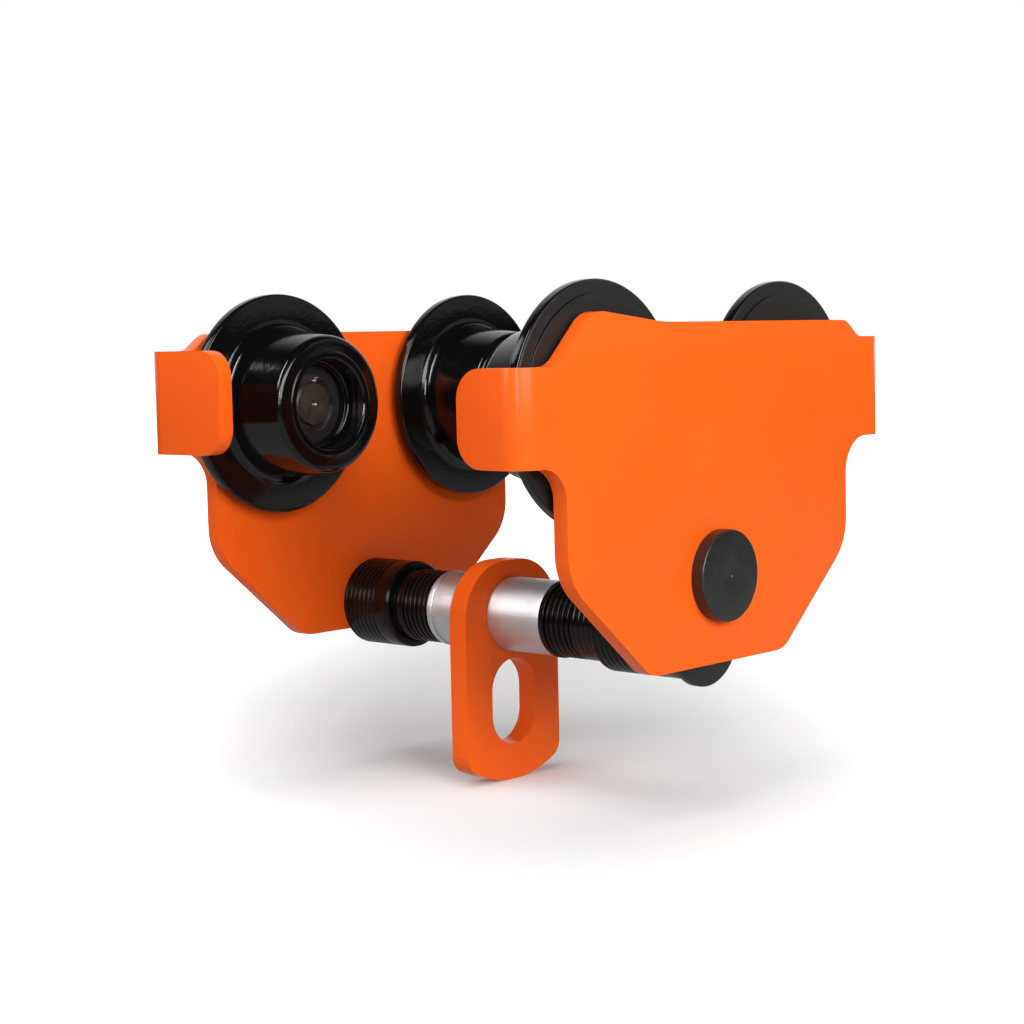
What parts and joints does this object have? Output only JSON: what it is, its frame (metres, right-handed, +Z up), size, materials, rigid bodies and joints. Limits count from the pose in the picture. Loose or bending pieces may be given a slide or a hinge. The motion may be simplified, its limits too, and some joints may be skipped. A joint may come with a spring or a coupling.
{
  "type": "manual beam trolley",
  "caption": "Manual beam trolley with flanged ball-bearing wheels on tabbed side plates, joined by a left- and right-threaded spindle that carries a slotted load hanger.",
  "frame": {"origin": "on the beam's centre line at the height of the running surface of its lower flange, midway between the front and rear axles", "axes": "+X across the beam towards the side plate with the plug, +Y along the beam towards the rear, +Z up"},
  "size_m": [0.222, 0.256, 0.2245],
  "materials": {
    "orange_paint": "glossy powder coat",
    "wheel_black": "gloss black",
    "oxide_black": "oiled black oxide",
    "bright_steel": "turned and brushed",
    "turned_steel": "turned, lightly oiled",
    "bearing_steel": "ground",
    "cage_steel": "pressed",
    "seal_rubber": "matt"
  },
  "bodies": {
    "centre": {"centre_sleeve": "bright_steel", "sleeve_washer_left": "bright_steel", "sleeve_washer_right": "oxide_black"},
    "spindle": {"spindle": "oxide_black", "thread_bush": "oxide_black", "bush_pin": "turned_steel"},
    "hanger": {"hanger_plate": "orange_paint"},
    "right_side": {"side_plate_right": "orange_paint", "barrel_nut_right": "oxide_black", "closing_disc": "oxide_black", "drive_hole_plug": "oxide_black", "axle_right_front": "turned_steel", "inner_race_right_front": "bearing_steel", "axle_clip_right_front": "oxide_black", "axle_right_rear": "turned_steel", "inner_race_right_rear": "bearing_steel", "axle_clip_right_rear": "oxide_black"},
    "left_side": {"side_plate_left": "orange_paint", "barrel_nut_left": "oxide_black", "axle_left_front": "turned_steel", "inner_race_left_front": "bearing_steel", "axle_clip_left_front": "oxide_black", "axle_left_rear": "turned_steel", "inner_race_left_rear": "bearing_steel", "axle_clip_left_rear": "oxide_black"},
    "wheel_right_front": {"wheel_right_front": "wheel_black", "outer_race_right_front": "bearing_steel", "bore_clip_right_front": "oxide_black", "seals_right_front": "seal_rubber"},
    "cage_right_front": {"cage_right_front": "cage_steel", "balls_right_front": "bearing_steel"},
    "wheel_right_rear": {"wheel_right_rear": "wheel_black", "outer_race_right_rear": "bearing_steel", "bore_clip_right_rear": "oxide_black", "seals_right_rear": "seal_rubber"},
    "cage_right_rear": {"cage_right_rear": "cage_steel", "balls_right_rear": "bearing_steel"},
    "wheel_left_front": {"wheel_left_front": "wheel_black", "outer_race_left_front": "bearing_steel", "bore_clip_left_front": "oxide_black", "seals_left_front": "seal_rubber"},
    "cage_left_front": {"cage_left_front": "cage_steel", "balls_left_front": "bearing_steel"},
    "wheel_left_rear": {"wheel_left_rear": "wheel_black", "outer_race_left_rear": "bearing_steel", "bore_clip_left_rear": "oxide_black", "seals_left_rear": "seal_rubber"},
    "cage_left_rear": {"cage_left_rear": "cage_steel", "balls_left_rear": "bearing_steel"}
  },
  "joints": [
    {"name": "right_slide", "type": "slide", "parent": "centre", "child": "right_side", "axis": [-1, 0, 0], "range_m": [-0.006, 0.012]},
    {"name": "left_slide", "type": "slide", "parent": "centre", "child": "left_side", "axis": [1, 0, 0], "range_m": [-0.0061, 0.0121]},
    {"name": "spindle_turn", "type": "hinge", "parent": "centre", "child": "spindle", "pos_m": [0, 0, -0.064], "axis": [1, 0, 0], "range_deg": [-725, 1445]},
    {"name": "hanger_swing", "type": "hinge", "parent": "centre", "child": "hanger", "pos_m": [-0.015, 0, -0.064], "axis": [1, 0, 0], "range_deg": [-90, 90]},
    {"name": "wheel_spin_right_front", "type": "hinge", "parent": "right_side", "child": "wheel_right_front", "pos_m": [0.079, -0.063, 0.034], "axis": [1, 0, 0], "continuous": true},
    {"name": "cage_spin_right_front", "type": "hinge", "parent": "right_side", "child": "cage_right_front", "pos_m": [0.079, -0.063, 0.034], "axis": [1, 0, 0], "continuous": true},
    {"name": "wheel_spin_right_rear", "type": "hinge", "parent": "right_side", "child": "wheel_right_rear", "pos_m": [0.079, 0.063, 0.034], "axis": [1, 0, 0], "continuous": true},
    {"name": "cage_spin_right_rear", "type": "hinge", "parent": "right_side", "child": "cage_right_rear", "pos_m": [0.079, 0.063, 0.034], "axis": [1, 0, 0], "continuous": true},
    {"name": "wheel_spin_left_front", "type": "hinge", "parent": "left_side", "child": "wheel_left_front", "pos_m": [-0.079, -0.063, 0.034], "axis": [1, 0, 0], "continuous": true},
    {"name": "cage_spin_left_front", "type": "hinge", "parent": "left_side", "child": "cage_left_front", "pos_m": [-0.079, -0.063, 0.034], "axis": [1, 0, 0], "continuous": true},
    {"name": "wheel_spin_left_rear", "type": "hinge", "parent": "left_side", "child": "wheel_left_rear", "pos_m": [-0.079, 0.063, 0.034], "axis": [1, 0, 0], "continuous": true},
    {"name": "cage_spin_left_rear", "type": "hinge", "parent": "left_side", "child": "cage_left_rear", "pos_m": [-0.079, 0.063, 0.034], "axis": [1, 0, 0], "continuous": true}
  ],
  "couplings": [
    {"joint": "left_slide", "follows": "right_slide", "ratio": 1},
    {"joint": "spindle_turn", "follows": "right_slide", "rad_per_m": 2094.4},
    {"joint": "cage_spin_right_front", "follows": "wheel_spin_right_front", "ratio": 0.60242},
    {"joint": "cage_spin_right_rear", "follows": "wheel_spin_right_rear", "ratio": 0.60242},
    {"joint": "cage_spin_left_front", "follows": "wheel_spin_left_front", "ratio": 0.60242},
    {"joint": "cage_spin_left_rear", "follows": "wheel_spin_left_rear", "ratio": 0.60242}
  ]
}
